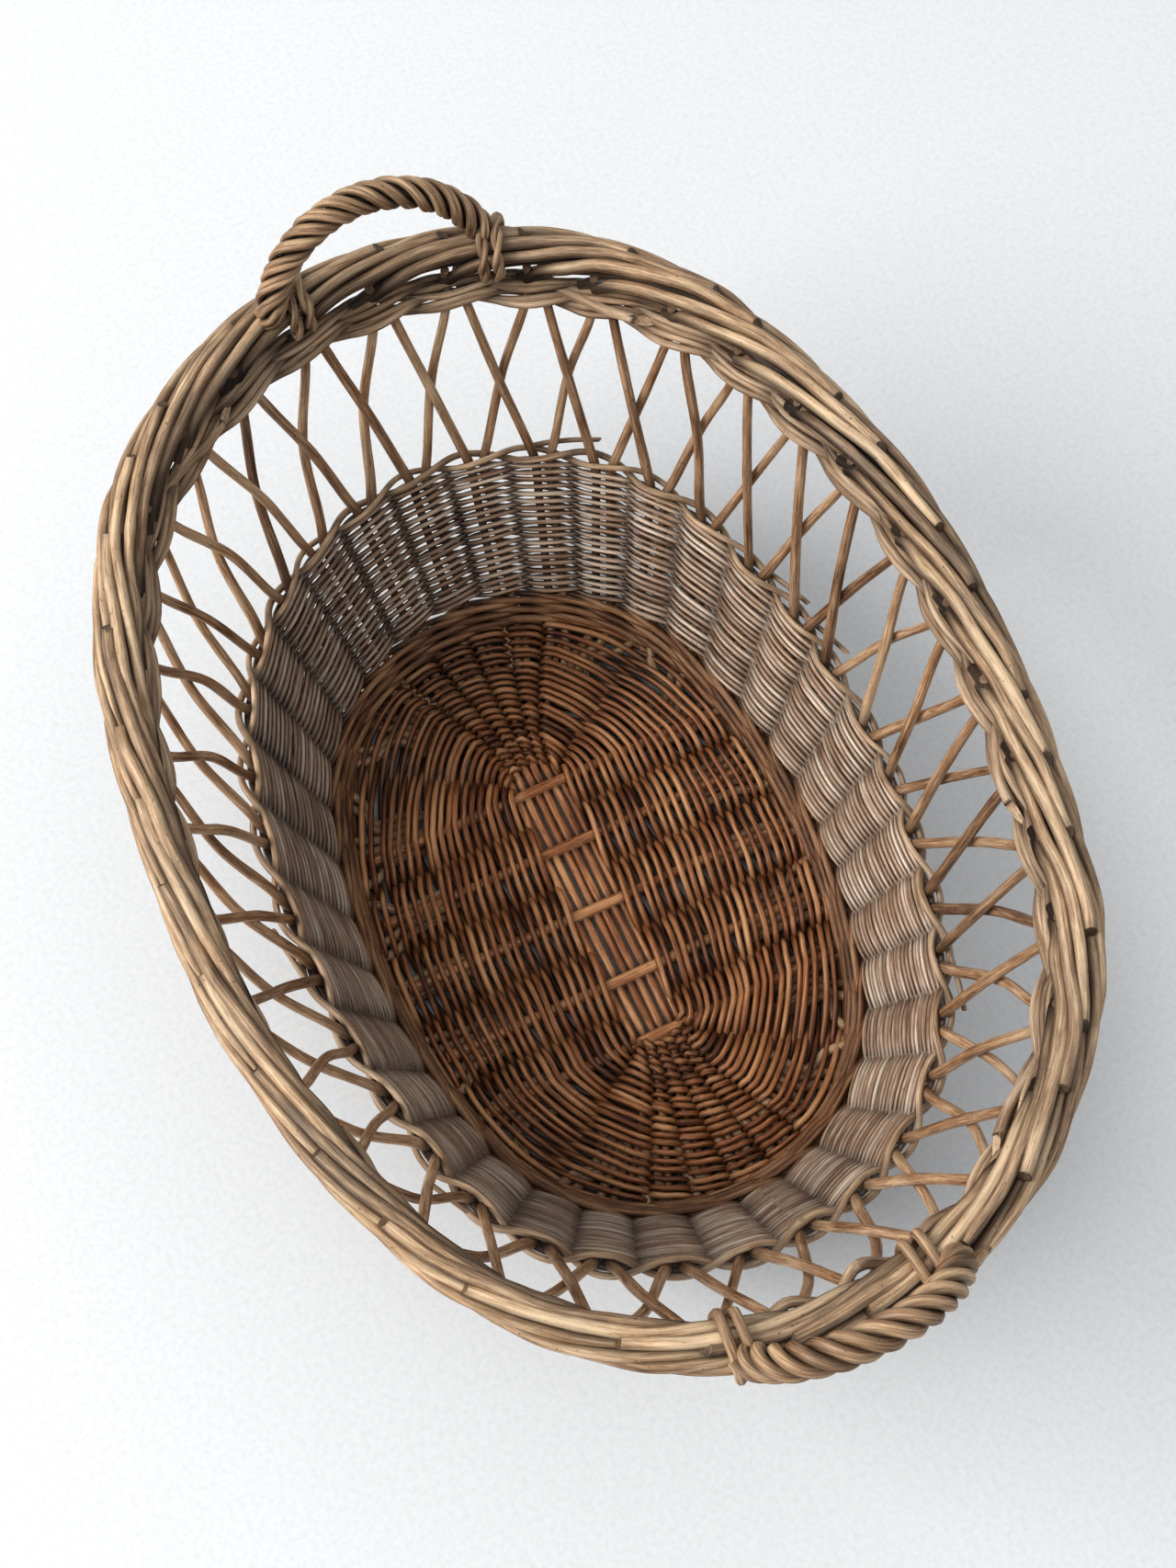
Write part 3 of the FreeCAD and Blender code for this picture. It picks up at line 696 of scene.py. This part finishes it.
# ------------------------------------------------------------------ twining on the wall
def twine(w, z_of_t, rod_r, gap, h, sharp=1.2, svals=S_LOW, seg=9, tone=0.5, tone_sd=0.18, pairs=PAIRS, lean=0.0, dirt_in=0.1, z_amp=None, rvar=0.05, phase=0, loose=0.0, crossing_shade=0.75, ply=1, ply_gap=0.0, belly=None, flank=0.0, painted_side_shade=0.0):
    """One course of pairing: two rods that swap sides between stake pairs."""
    t = np.arange(0, pairs, 1.0 / seg)
    zc = z_of_t(t)
    s = node_s(t, svals)
    Nn, T, up = wall_frame(s, zc)
    P0 = wall(s, zc)
    z_w = smooth_noise(len(t), seg * 2.2, 0.30)
    z_w[-seg:] = np.linspace(z_w[-seg], z_w[0], seg)
    lo = loose * wrap_interp(t, rng.uniform(0.2, 1.0, pairs), pairs)
    # painted shade at the crossings between stake pairs, heavier at the far end (x < -110)
    cross_shade = crossing_shade * (0.55 + 0.45 * np.clip((-P0[:, 0] - 110.0) / 70.0, 0, 1))
    more = np.zeros(len(t)) if belly is None else belly(t)
    for strand in (0, 1):
        ph = np.pi * (t + phase) + strand * np.pi
        c = np.cos(ph)
        f = np.tanh(sharp * c) / math.tanh(sharp)
        rr = rod_r * rng.uniform(0.93, 1.07)
        rad = -(gap + rr) * f
        rad = rad + np.where(f < 0, 1, -1) * lo * np.abs(f) - more * np.clip(f, 0, 1) ** 2
        inside = np.clip(0.5 + 0.5 * f, 0, 1)
        hid = 1 - inside
        # painted shade: crossings, the float on the outer side, and the walls towards -y, which get darker than the
        # right wall
        dirt = dirt_in + cross_shade * np.exp(-(f / 0.4) ** 2) + 0.35 * hid + painted_side_shade * np.clip(0.6 - P0[:, 1] / 240.0, 0, 1)
        for q in range(ply):
            off = (q - (ply - 1) / 2.0) * ply_gap
            nz_ = smooth_noise(len(t), seg * 1.6, 0.35 if ply == 1 else 0.8)
            nz_[-seg:] = np.linspace(nz_[-seg], nz_[0], seg)
            v = -h * np.sin(ph) + z_w + off * (0.55 + 0.45 * np.abs(f)) + (nz_ if ply > 1 else 0.0)
            Q = P0 + Nn * (rad + (0.25 * off * f if ply > 1 else 0.0))[:, None] + up * v[:, None]
            tn = np.clip(rng.normal(tone, tone_sd), 0, 1)
            w.add(Q, rr * (1 + smooth_noise(len(t), seg * 3, rvar)), closed=True, dirt=np.clip(dirt, 0, 1), tone=tn, face=Nn, flank=flank)


def wale3(w, z0, rod_r, gap, tone):
    """Three-rod wale: each rod passes outside two pairs and inside one."""
    keys_t = np.array([0.0, 0.5, 1.0, 1.5, 2.0, 2.5])
    keys_r = np.array([-1.0, 0.0, 0.95, 1.05, 0.95, 0.0])
    keys_v = np.array([0.0, -0.9, -1.0, 0.0, 1.0, 0.9])
    seg = 9
    t = np.arange(0, PAIRS, 1.0 / seg)
    s = node_s(t, S_LOW)
    Nn, T, up = wall_frame(s, np.full(len(t), z0))
    P0 = wall(s, np.full(len(t), z0))

    def per(keys, x):
        x = (x % 3.0) / 0.5
        i = np.floor(x).astype(int)
        f = x - i
        p = [keys[(i + d) % 6] for d in (-1, 0, 1, 2)]
        return 0.5 * (2 * p[1] + (p[2] - p[0]) * f + (2 * p[0] - 5 * p[1] + 4 * p[2] - p[3]) * f ** 2 + (3 * p[1] - p[0] - 3 * p[2] + p[3]) * f ** 3)
    for strand in range(3):
        rr = rod_r * rng.uniform(0.94, 1.06)
        r_ = -per(keys_r, t + strand)
        v_ = per(keys_v, t + strand)
        Q = P0 + Nn * ((gap + rr) * r_)[:, None] + up * (v_ * 1.5)[:, None]
        # painted shade: darker where each rod crosses between stake pairs and while it runs on the outside
        dirt = 0.2 + 0.6 * np.exp(-(r_ / 0.5) ** 2) + 0.2 * (r_ > 0)
        w.add(Q, rr, closed=True, dirt=np.clip(dirt, 0, 1), tone=np.clip(rng.normal(tone, 0.15), 0, 1))


upsett = Rods("upsett_wale_detail", 8)
for z0, rr, gap in ((7.6, 2.7, 2.6), (14.4, 2.65, 2.6), (21.2, 2.55, 2.6), (27.6, 2.4, 2.5)):
    wale3(upsett, z0, rr, gap, 0.45)
upsett.build(M_UPSETT, "weaver_willow", ("upsett_wale_outer", "upsett_wale_inner"))

ROWS = 19
row_z = np.linspace(33.4, 122.2, ROWS)
bands = (("side_weave_low_detail", range(0, 7), ("side_weave_inner",)), ("side_weave_mid_detail", range(7, 13), ("side_weave_outer",)), ("side_weave_top_detail", range(13, ROWS), ("side_top_wale_inner",)))
for nm, rr_, rep in bands:
    w = Rods(nm, 8)
    for j in rr_:
        wz = smooth_noise(PAIRS, 5, 0.35) + (2.4, 1.3, 0.5)[min(j, 2)] * (j < 3) * np.exp(-((np.arange(PAIRS) - 18.3) / 1.5) ** 2)
        twine(w, lambda t, z=row_z[j], wz=wz: z + wrap_interp(t, wz), 1.66, 1.75, 1.5, sharp=0.95, seg=12, tone=0.57, tone_sd=0.24, dirt_in=0.0, crossing_shade=0.55, flank=0.6, painted_side_shade=0.26)
    w.build(M_WEAVE, "weaver_willow", rep)
top = Rods("side_top_wale_detail", 9)
wz = rng.uniform(-1.6, 1.6, PAIRS)
twine(top, lambda t: 127.6 + wrap_interp(t, wz), 2.1, 2.7, 2.9, sharp=0.8, seg=12, tone=0.72, tone_sd=0.1, dirt_in=0.0, loose=1.2, crossing_shade=0.4)
# loose tips left lying against the wall top
for i, ln, zz in ((5, 26, 130.0), (11, 30, 131.0), (12, 34, 129.0), (16, 30, 132.0), (27, 24, 130.5), (31, 22, 129.5)):
    s0 = S_LOW[i] - 0.004
    s1 = s0 - ln / 1480.0
    C = catmull([wall(s0 + 0.010, zz - 5, 0, 5.5), wall(s0, zz - 2, 0, 6.5), wall((s0 + s1) / 2, zz + 1.5, 0, 7.5), wall(s1, zz + 4.0, 0, 9.0)], 8)
    top.add(C, np.linspace(1.9, 1.5, len(C)), cut1=1.2, tone=0.35, dirt=0.3)
top.build(M_FITCH, "weaver_willow", ("side_top_wale_outer",))

# ------------------------------------------------------------------ rim bands
fitch = Rods("fitch_rods_detail", 10)
slack = lambda t: sum(v * np.exp(-(((t - c + 18.0) % 36.0 - 18.0) / 0.42) ** 2) for c, v in ((0.0, 6.0), (35.0, 4.5), (1.0, 2.5)))
for z0, h, rr, lo in ((235.6, 3.3, 2.35, 0.8), (245.4, 2.6, 2.2, 0.3)):
    wz = rng.uniform(-0.9, 0.9, PAIRS)
    twine(fitch, lambda t, z=z0, wz=wz: z + wrap_interp(t, wz), rr, 1.7, h, sharp=0.6, svals=S_TOP, seg=12, tone=0.58, tone_sd=0.16, dirt_in=0.05, loose=lo, rvar=0.08, crossing_shade=0.3, ply=2, ply_gap=4.3, belly=slack if z0 < 240 else None, flank=0.25)
# rod butts with long slanting cuts, lying in the lower band on the inside
for i, ln in ((3, 46), (7, 38), (15, 44), (21, 40), (30, 42)):
    s0 = S_TOP[i] + 0.010
    s1 = s0 - ln / 1725.0
    C = catmull([wall(s0 + 0.012, 240.0, 0, 4.0), wall(s0, 241.5, 0, -3.0), wall((s0 + s1) / 2, 243.0, 0, -9.2), wall(s1, 243.5, 0, -8.0)], 8)
    fitch.add(C, np.linspace(2.9, 3.3, len(C)), cut1=3.4, tone=0.6, dirt=0.1, end_tone=0.42, u0=np.append(-oval(1.0, 0.9, 0.8, s0)[1] * -1.0, -0.6))
fitch.build(M_FITCH, "border_willow", ("fitch_rods_inner", "fitch_rods_outer"))


# ------------------------------------------------------------------ border
def rim(s, d, z):
    """Point inset d from the rim outline at height z."""
    s, d, z = np.broadcast_arrays(*(np.asarray(v, float) for v in (s, d, z)))
    P, N = oval(RIM[0] - d, RIM[1] - d, RIM[2] - d, s)
    w = np.clip((44.0 - d) / 30.0, 0.15, 1.0)
    P = P + N * (wrap_interp(s * PAIRS, RIM_OUT) * w + wrap_interp(s * PAIRS, INNER_OUT) * np.clip(d / 29.0, 0, 1.2) ** 1.5)[..., None]
    return np.concatenate([P, z[..., None]], -1)


def outward(C, up):
    """Unit vectors pointing out of the border, tilted up by the weight up."""
    n = np.column_stack([C[:, 0] / RIM[0] ** 2, C[:, 1] / RIM[1] ** 2, np.zeros(len(C))])
    n /= np.linalg.norm(n, axis=1, keepdims=True)
    n = n * (1 - up) + np.array([0, 0, 1.0]) * up
    return n / np.linalg.norm(n, axis=1, keepdims=True)


# every pair sends one rod over the top, ending in a butt, and one below it
# that comes out at the outer edge
C_TAU = np.array([-0.10, 0.15, 0.5, 1.0, 1.6, 2.2, 2.8, 3.3])
C_D = np.array([24.5, 26.0, 26.5, 24.5, 20.8, 16.6, 12.8, 10.0])
C_Z = np.array([248.0, 258.5, 266.0, 270.5, 274.0, 275.0, 274.6, 273.4])
B_TAU = np.array([-0.25, 0.1, 0.6, 1.2, 2.0, 2.8, 3.4, 4.0, 4.6, 5.1, 5.5])
B_D = np.array([24.0, 24.0, 22.5, 20.5, 17.3, 13.4, 9.6, 5.8, 3.7, 4.0, 5.2])
B_Z = np.array([247.0, 256.0, 261.5, 263.5, 264.0, 265.6, 267.0, 267.6, 265.6, 261.0, 256.5])
border_a = Rods("border_rods_a_detail", 12)
border_b = Rods("border_rods_b_detail", 12)
under = Rods("border_outer_rods_detail", 11)
for i in range(PAIRS):
    end = 3.2 + rng.uniform(-0.32, 0.25)
    keep = C_TAU < end - 0.15
    tau = np.append(C_TAU[keep], end)
    j1, j2 = rng.uniform(-1.5, 1.5, len(tau)), rng.uniform(-1.1, 1.1, len(tau))
    j1[:2] *= 0.3
    s = node_s(i - tau, S_TOP)
    C = resample(catmull(rim(s, np.interp(tau, C_TAU, C_D) + j1, np.interp(tau, C_TAU, C_Z) + j2), 14), 3.2)
    n = len(C)
    big = rng.uniform(3.35, 4.3)
    R = taper(n, big, big * rng.uniform(0.9, 1.0), 6, 0.07)
    frac = np.linspace(0, 1, n)
    # painted shade where the rod rises from under the border, plus painted shade on its sides below a lighter top;
    # darker over the last few mm before the cut end
    dirt = 0.6 * np.exp(-(frac / 0.12) ** 2) + 0.3 * np.exp(-((1 - frac) / 0.03) ** 2) + 0.05
    (border_a if i % 2 else border_b).add(C, R, dirt=np.clip(dirt, 0, 1), cut1=rng.uniform(0.3, 1.0), tone=np.clip(rng.normal(0.52, 0.27), 0, 1), end_tone=-0.35, u0=(0, 0, -1), face=outward(C, 0.95), flank=0.6)
    j1, j2 = rng.uniform(-0.8, 0.8, len(B_TAU)), rng.uniform(-0.7, 0.7, len(B_TAU))
    s = node_s(i - B_TAU + rng.uniform(-0.1, 0.1), S_TOP)
    C = resample(catmull(rim(s, B_D + j1, B_Z + j2), 12), 3.6)
    n = len(C)
    frac = np.linspace(0, 1, n)
    r0 = rng.uniform(3.35, 3.8)
    # painted shade: darker along the first part, which lies under the top rods
    under.add(C, taper(n, r0, r0 * 0.92, 6, 0.06), dirt=np.clip(0.75 - 0.65 * np.clip((frac - 0.35) / 0.3, 0, 1), 0, 1), cut1=0.9, tone=np.clip(rng.normal(0.5, 0.2), 0, 1), face=outward(C, 0.5), flank=0.5)
border_a.build(M_BORDER, "border_willow", ("border_rods_top_outer",))
border_b.build(M_BORDER, "border_willow", ("border_rods_top_inner",))
under.build(M_BORDER, "border_willow", ("border_rods_inner", "border_rods_outer"))

# ------------------------------------------------------------------ handles
HANDLES = (("far", -1, -51.0, 83.0, 326.0, 282.1, 45.2, 24.0),
           ("near", 1, -62.0, 49.0, 341.0, 282.7, 39.8, 27.0))


def arch(side, y0, y1, fx, fz, rise, lean, n=140, dip=26.0, out0=-6.0, out1=-6.0):
    """Centre line of a handle, with both feet carried on down into the border."""
    yc, half = (y0 + y1) / 2.0, (y1 - y0) / 2.0
    rad = (half * half + rise * rise) / (2.0 * rise)
    la = math.radians(lean)
    up = np.array([side * math.sin(la), 0, math.cos(la)])
    c = np.array([side * fx, yc, fz]) + up * (rise - rad)
    a0 = math.asin((rad - rise) / rad)
    th = np.linspace(a0, math.pi - a0, n)
    C = np.array([c + up * rad * math.sin(v) + np.array([0, 1.0, 0]) * (-rad * math.cos(v)) for v in th])
    t0 = C[0] - C[1]
    t0 /= np.linalg.norm(t0)
    t1 = C[-1] - C[-2]
    t1 /= np.linalg.norm(t1)
    # the feet turn down and a little inwards, between the border rods
    k = np.linspace(1, 0, 14)[:-1, None]
    f0 = C[0] + t0 * dip * 0.55 * k + np.array([side * out0, 0, -dip * 0.62]) * k ** 1.4
    k = k[::-1]
    f1 = C[-1] + t1 * dip * 0.55 * k + np.array([side * out1, 0, -dip * 0.62]) * k ** 1.4
    return resample(np.vstack([f0, C, f1]), 1.6)


def frames(C):
    D = np.gradient(C, axis=0)
    D /= np.linalg.norm(D, axis=1, keepdims=True)
    u = np.array([1.0, 0, 0])
    u = u - D[0] * u.dot(D[0])
    u /= np.linalg.norm(u)
    U = []
    for i in range(len(C)):
        u = u - D[i] * u.dot(D[i])
        u /= np.linalg.norm(u)
        U.append(u)
    U = np.array(U)
    return D, U, np.cross(D, U)


def helix(C, radius, lead, phase, rad_noise=0.0):
    D, U, W = frames(C)
    L = np.concatenate([[0], np.cumsum(np.linalg.norm(np.diff(C, axis=0), axis=1))])
    a = 2 * np.pi * L / lead + phase
    if rad_noise:
        a = a + smooth_noise(len(C), 18, rad_noise)
    r = np.broadcast_to(radius, (len(C),))
    return C + r[:, None] * (np.cos(a)[:, None] * U + np.sin(a)[:, None] * W)


def two_ply(w, C, r_all, lead, tone, n_ply=2, **kw):
    ph = rng.uniform(0, 6.28)
    for k in range(n_ply):
        P = helix(C, r_all * 0.52, lead, ph + k * 2 * np.pi / n_ply)
        w.add(P, r_all * 0.56, tone=np.clip(tone + rng.uniform(-0.12, 0.12), 0, 1), **kw)


for nm, side, y0, y1, fx, fz, rise, lean in HANDLES:
    C = arch(side, y0, y1, fx, fz, rise, lean, dip=22.0 if nm == "far" else 26.0, out0=12.0 if nm == "far" else -4.0, out1=2.0 if nm == "far" else -4.0)
    L = np.concatenate([[0], np.cumsum(np.linalg.norm(np.diff(C, axis=0), axis=1))])
    tot = L[-1]
    w = Rods("handle_%s_rope_detail" % nm, 9)
    core = Rods("handle_%s_core_detail" % nm, 8)
    # painted shade: the core hidden inside the rope is made dark, seen only through gaps between the strands
    core.add(C, 4.6, dirt=0.9, tone=0.2)
    core.build(M_HANDLE, "handle_willow", ("handle_%s_core" % nm,))
    env = 1.0 - 0.22 * np.exp(-(L / 16.0) ** 2) - 0.22 * np.exp(-((tot - L) / 16.0) ** 2)
    for strand in range(4):
        for ply in ((-1, 1) if nm == "far" else (0,)):
            ph = strand * np.pi / 2 + ply * 0.23 + rng.uniform(-0.06, 0.06)
            if ply:
                P = helix(C, (7.6 if ply > 0 else 7.1) * env * rng.uniform(0.97, 1.03), 50.0, ph, 0.07)
                r = taper(len(C), 2.35, 2.15, 4, 0.09)
            else:
                P = helix(C, 6.2 * env * rng.uniform(0.98, 1.03), 49.0, ph, 0.07)
                r = taper(len(C), 3.75, 3.5, 4, 0.07)
            # darker towards both feet; the strand sides facing their neighbours get painted shade
            dirt = 0.25 * np.exp(-(L / 14.0) ** 2) + 0.25 * np.exp(-((tot - L) / 14.0) ** 2)
            w.add(P, r * (0.85 + 0.15 * env), dirt=dirt, cut0=0.5, cut1=0.5, tone=np.clip(rng.normal(0.58, 0.16), 0, 1), face=(P - C) / np.linalg.norm(P - C, axis=1, keepdims=True), flank=0.6)
    w.build(M_HANDLE, "handle_willow", ("handle_%s_rope" % nm,))


def s_at_y(side, y, d=19.0):
    s = np.linspace(-0.12, 0.12, 961) + (0.0 if side > 0 else 0.5)
    P = rim(s, d, 270.0)
    return float(s[np.abs(P[:, 1] - y).argmin()])


def lash(w, side, yo, yi, top=281.5, lo=255.0, d_in=33.0, d_out=-3.5, r=3.7, lead=36.0, tone=0.6, single=0.0):
    """One turn of a twisted rod round the border, from yo outside to yi inside."""
    so, si = s_at_y(side, yo, 2.0), s_at_y(side, yi, 34.0)
    sm = 0.5 * (so + si)
    pts = [rim(so, d_out, 266.0), rim(so * 0.8 + si * 0.2, 6.0, top - 3.0), rim(sm, 18.0, top), rim(so * 0.25 + si * 0.75, 30.0, top - 3.5),
           rim(si, d_in, 268.0), rim(si, d_in - 2.0, 257.5), rim(sm, 22.0, lo), rim(so, 4.0, lo + 1.0)]
    C = resample(catmull(pts, 12, closed=True), 1.6, closed=True)
    n = len(C)
    C2 = np.vstack([C, C[:2]])
    if single:
        w.add(C2, taper(len(C2), single, single * 0.95, 3, 0.06), tone=tone + rng.uniform(-0.12, 0.12), dirt=0.08)
    else:
        two_ply(w, C2, r, lead, tone, dirt=0.12)


LASH = {"far": (("a", ((-38.0, -40.0), (-29.0, -31.0))), ("b", ((87.0, 76.0), (97.0, 83.5)))),
        "near": (("a", ((-69.5, -69.0), (-60.5, -61.0))), ("b", ((33.0, 29.5), (41.5, 38.5))))}
for nm, side in (("far", -1), ("near", 1)):
    for tag, turns in LASH[nm]:
        w = Rods("handle_%s_lashing_%s_detail" % (nm, tag), 8)
        for yo, yi in turns:
            lash(w, side, yo, yi, single=0.0 if nm == "far" else 3.0, d_in=33.0 if nm == "far" else 31.0)
        if nm == "near" and tag == "b":
            # butts of the rope rods left standing out past the foot
            for k, (dy, dx, dz) in enumerate(((12, 3, -6), (17, 0, -10), (9, 7, -12), (20, -5, -13))):
                p = np.array([338.0, 46.0, 287.0])
                Cc = catmull([p + [4, -10, 5 - 2 * k], p + [7, 0, 3 - 2.5 * k], p + [6 + dx * 0.5, dy * 0.6, -3 - 2 * k], p + [3 + dx * 0.3, dy, dz - 2]], 8)
                w.add(Cc, np.linspace(3.0, 2.8, len(Cc)), cut1=0.9, tone=0.5, dirt=0.1)
        w.build(M_HANDLE, "handle_willow", ("handle_%s_lashing_%s" % (nm, tag),))

# ------------------------------------------------------------------ floor, light, camera
fm = bpy.data.materials.new("floor")
fm.use_nodes = True
nt = fm.node_tree
b = nt.nodes["Principled BSDF"]
b.inputs["Roughness"].default_value = 0.9
b.inputs["Specular IOR Level"].default_value = 0.1
tc = nt.nodes.new("ShaderNodeTexCoord")
nz = nt.nodes.new("ShaderNodeTexNoise")
nz.inputs["Scale"].default_value = 260.0
nz.inputs["Detail"].default_value = 4.0
cr = nt.nodes.new("ShaderNodeValToRGB")
cr.color_ramp.elements[0].position, cr.color_ramp.elements[0].color = 0.25, (0.685, 0.695, 0.705, 1)
cr.color_ramp.elements[1].position, cr.color_ramp.elements[1].color = 0.60, (0.735, 0.745, 0.755, 1)
nt.links.new(tc.outputs["Object"], nz.inputs["Vector"])
nt.links.new(nz.outputs["Fac"], cr.inputs["Fac"])
nt.links.new(cr.outputs["Color"], b.inputs["Base Color"])
me = bpy.data.meshes.new("floor")
S = 6.0
me.from_pydata([(-S, -S, 0), (S, -S, 0), (S, S, 0), (-S, S, 0)], [], [(0, 1, 2, 3)])
floor = bpy.data.objects.new("floor", me)
me.materials.append(fm)
bpy.context.scene.collection.objects.link(floor)
floor.location.z = min(CAD_BOX[0][2], 0.0) - 0.0005

world = bpy.data.worlds.new("world")
bpy.context.scene.world = world
world.use_nodes = True
world.node_tree.nodes["Background"].inputs[0].default_value = (0.96, 0.98, 1.0, 1)
world.node_tree.nodes["Background"].inputs[1].default_value = 0.71
bpy.context.scene.view_settings.view_transform = 'Standard'
bpy.context.scene.view_settings.gamma = 0.8

import mathutils


def area(name, loc, size, power, target=(0, 0, 0.1), col=(1, 1, 1)):
    li = bpy.data.lights.new(name, 'AREA')
    li.shape = 'DISK'
    li.size = size
    li.energy = power
    li.color = col
    o = bpy.data.objects.new(name, li)
    o.location = loc
    d = mathutils.Vector(target) - mathutils.Vector(loc)
    o.rotation_euler = d.to_track_quat('-Z', 'Y').to_euler()
    bpy.context.scene.collection.objects.link(o)
    return o


area("top", (0.1, 0.3, 3.4), 2.6, 11.0, col=(1.0, 0.995, 0.985))
area("key", (-1.2, -4.1, 3.6), 3.7, 302.0, col=(1.0, 0.985, 0.965))

R = mathutils.Vector((0.417115, 0.908305, -0.031581))
U = mathutils.Vector((-0.833853, 0.396285, 0.384249))
F = mathutils.Vector((-0.361530, 0.133942, -0.922689))
cam = bpy.data.cameras.new("cam")
cam.sensor_fit = 'AUTO'
cam.sensor_width = 36.0
cam.lens = 52.553
cam.clip_start = 0.05
co = bpy.data.objects.new("cam", cam)
mt = mathutils.Matrix((R, U, -F)).transposed().to_4x4()
mt.translation = mathutils.Vector((0.4747475 + SHIFT[0], -0.1733344 + SHIFT[1], 1.4154614))
co.matrix_world = mt
bpy.context.scene.collection.objects.link(co)
bpy.context.scene.camera = co
